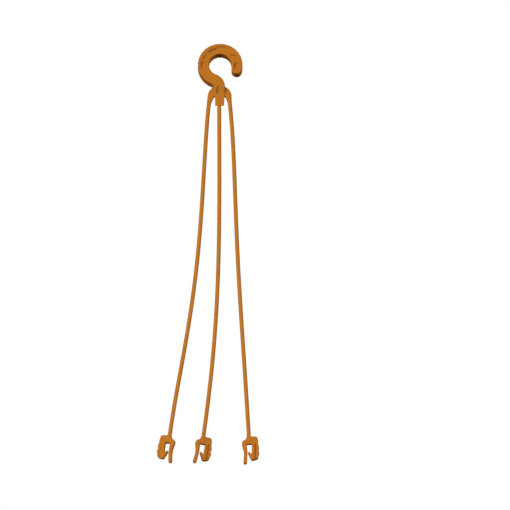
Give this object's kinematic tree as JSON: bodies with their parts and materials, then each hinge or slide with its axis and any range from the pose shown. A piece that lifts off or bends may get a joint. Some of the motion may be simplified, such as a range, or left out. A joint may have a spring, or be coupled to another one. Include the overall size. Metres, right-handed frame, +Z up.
{
  "type": "hanging pot hanger",
  "caption": "Moulded plastic hanging-pot hanger: a round open crook with flexible strands, each ending in a flat snap clip with a barbed hook and a springy tongue.",
  "frame": {"origin": "centre of the crook's inner circle, where a rail or ceiling hook bears, in the moulding's parting plane", "axes": "+Z up from the clips to the crook, +X to the crook's open side, +Y along a rail held in the crook (away from the front, the face with the clips' open channels)"},
  "size_m": [0.092, 0.0102, 0.4049],
  "materials": {
    "crook_plastic": "satin moulded polypropylene, faint sink and flow marks",
    "strand_plastic": "satin moulded polypropylene strand with a parting line",
    "clip_plastic": "satin moulded polypropylene, sharp moulded details"
  },
  "bodies": {
    "head": {"hook": "crook_plastic", "shoulder_left": "crook_plastic", "shoulder_right": "crook_plastic"},
    "left_upper": {"strand_left_1": "strand_plastic"},
    "left_second": {"strand_left_2": "strand_plastic"},
    "left_third": {"strand_left_3": "strand_plastic"},
    "left_lower": {"strand_left_4": "strand_plastic"},
    "left_clip": {"clip_left_frame": "clip_plastic", "clip_left_grip": "clip_plastic"},
    "left_gate": {"clip_left_tongue": "clip_plastic"},
    "centre_upper": {"strand_centre_1": "strand_plastic"},
    "centre_second": {"strand_centre_2": "strand_plastic"},
    "centre_third": {"strand_centre_3": "strand_plastic"},
    "centre_lower": {"strand_centre_4": "strand_plastic"},
    "centre_clip": {"clip_centre_frame": "clip_plastic", "clip_centre_grip": "clip_plastic"},
    "centre_gate": {"clip_centre_tongue": "clip_plastic"},
    "right_upper": {"strand_right_1": "strand_plastic"},
    "right_second": {"strand_right_2": "strand_plastic"},
    "right_third": {"strand_right_3": "strand_plastic"},
    "right_lower": {"strand_right_4": "strand_plastic"},
    "right_clip": {"clip_right_frame": "clip_plastic", "clip_right_grip": "clip_plastic"},
    "right_gate": {"clip_right_tongue": "clip_plastic"}
  },
  "joints": [
    {"name": "left_sway", "type": "hinge", "parent": "head", "child": "left_upper", "pos_m": [-0.01096, 0, -0.044], "axis": [1, 0, 0], "range_deg": [-12, 10], "stiffness_Nm_per_rad": 0.16},
    {"name": "left_splay", "type": "hinge", "parent": "left_upper", "child": "left_second", "pos_m": [-0.01367, 0, -0.084], "axis": [0, 1, 0], "range_deg": [-1, 20], "stiffness_Nm_per_rad": 0.16},
    {"name": "left_bow_sway", "type": "hinge", "parent": "left_second", "child": "left_third", "pos_m": [-0.01755, 0, -0.15], "axis": [1, 0, 0], "range_deg": [-4.8, 4], "stiffness_Nm_per_rad": 0.12},
    {"name": "left_bow_splay", "type": "hinge", "parent": "left_third", "child": "left_lower", "pos_m": [-0.027, 0, -0.24], "axis": [0, 1, 0], "range_deg": [-0.4, 8], "stiffness_Nm_per_rad": 0.12},
    {"name": "left_clip_twist", "type": "hinge", "parent": "left_lower", "child": "left_clip", "pos_m": [-0.04513, 0, -0.3549], "axis": [0.1392, 0, 0.9903], "range_deg": [-90, 90], "stiffness_Nm_per_rad": 0.02},
    {"name": "left_gate", "type": "hinge", "parent": "left_clip", "child": "left_gate", "pos_m": [-0.04298, -0.00109, -0.36616], "axis": [-0.2813, -0.9588, 0.0395], "range_deg": [-4.5, 15], "stiffness_Nm_per_rad": 0.05},
    {"name": "centre_sway", "type": "hinge", "parent": "head", "child": "centre_upper", "pos_m": [-0.00089, 0, -0.044], "axis": [-1, 0, 0], "range_deg": [-12, 20], "stiffness_Nm_per_rad": 0.16},
    {"name": "centre_splay", "type": "hinge", "parent": "centre_upper", "child": "centre_second", "pos_m": [-0.00077, 0, -0.084], "axis": [0, 1, 0], "range_deg": [-2, 2], "stiffness_Nm_per_rad": 0.16},
    {"name": "centre_bow_sway", "type": "hinge", "parent": "centre_second", "child": "centre_third", "pos_m": [-0.00093, 0, -0.15], "axis": [-1, 0, 0], "range_deg": [-4.8, 8], "stiffness_Nm_per_rad": 0.12},
    {"name": "centre_bow_splay", "type": "hinge", "parent": "centre_third", "child": "centre_lower", "pos_m": [-0.00367, 0, -0.24], "axis": [0, 1, 0], "range_deg": [-0.8, 0.8], "stiffness_Nm_per_rad": 0.12},
    {"name": "centre_clip_twist", "type": "hinge", "parent": "centre_lower", "child": "centre_clip", "pos_m": [-0.01489, 0, -0.356], "axis": [0.1478, 0, 0.989], "range_deg": [-90, 90], "stiffness_Nm_per_rad": 0.02},
    {"name": "centre_gate", "type": "hinge", "parent": "centre_clip", "child": "centre_gate", "pos_m": [-0.02022, -0.0008, -0.36617], "axis": [-0.2056, 0.9781, 0.0307], "range_deg": [-4.5, 15], "stiffness_Nm_per_rad": 0.05},
    {"name": "right_sway", "type": "hinge", "parent": "head", "child": "right_upper", "pos_m": [0.0094, 0, -0.044], "axis": [1, 0, 0], "range_deg": [-12, 10], "stiffness_Nm_per_rad": 0.16},
    {"name": "right_splay", "type": "hinge", "parent": "right_upper", "child": "right_second", "pos_m": [0.01196, 0, -0.084], "axis": [0, -1, 0], "range_deg": [-1, 20], "stiffness_Nm_per_rad": 0.16},
    {"name": "right_bow_sway", "type": "hinge", "parent": "right_second", "child": "right_third", "pos_m": [0.01432, 0, -0.15], "axis": [1, 0, 0], "range_deg": [-4.8, 4], "stiffness_Nm_per_rad": 0.12},
    {"name": "right_bow_splay", "type": "hinge", "parent": "right_third", "child": "right_lower", "pos_m": [0.01871, 0, -0.24], "axis": [0, -1, 0], "range_deg": [-0.4, 8], "stiffness_Nm_per_rad": 0.12},
    {"name": "right_clip_twist", "type": "hinge", "parent": "right_lower", "child": "right_clip", "pos_m": [0.02569, 0, -0.356], "axis": [0, 0, 1], "range_deg": [-90, 90], "stiffness_Nm_per_rad": 0.02},
    {"name": "right_gate", "type": "hinge", "parent": "right_clip", "child": "right_gate", "pos_m": [0.02184, 0, -0.36685], "axis": [0, 1, 0], "range_deg": [-1.5, 18], "stiffness_Nm_per_rad": 0.05}
  ],
  "couplings": [
    {"joint": "left_bow_sway", "follows": "left_sway", "ratio": 0.4},
    {"joint": "left_bow_splay", "follows": "left_splay", "ratio": 0.4},
    {"joint": "centre_bow_sway", "follows": "centre_sway", "ratio": 0.4},
    {"joint": "centre_bow_splay", "follows": "centre_splay", "ratio": 0.4},
    {"joint": "right_bow_sway", "follows": "right_sway", "ratio": 0.4},
    {"joint": "right_bow_splay", "follows": "right_splay", "ratio": 0.4}
  ]
}
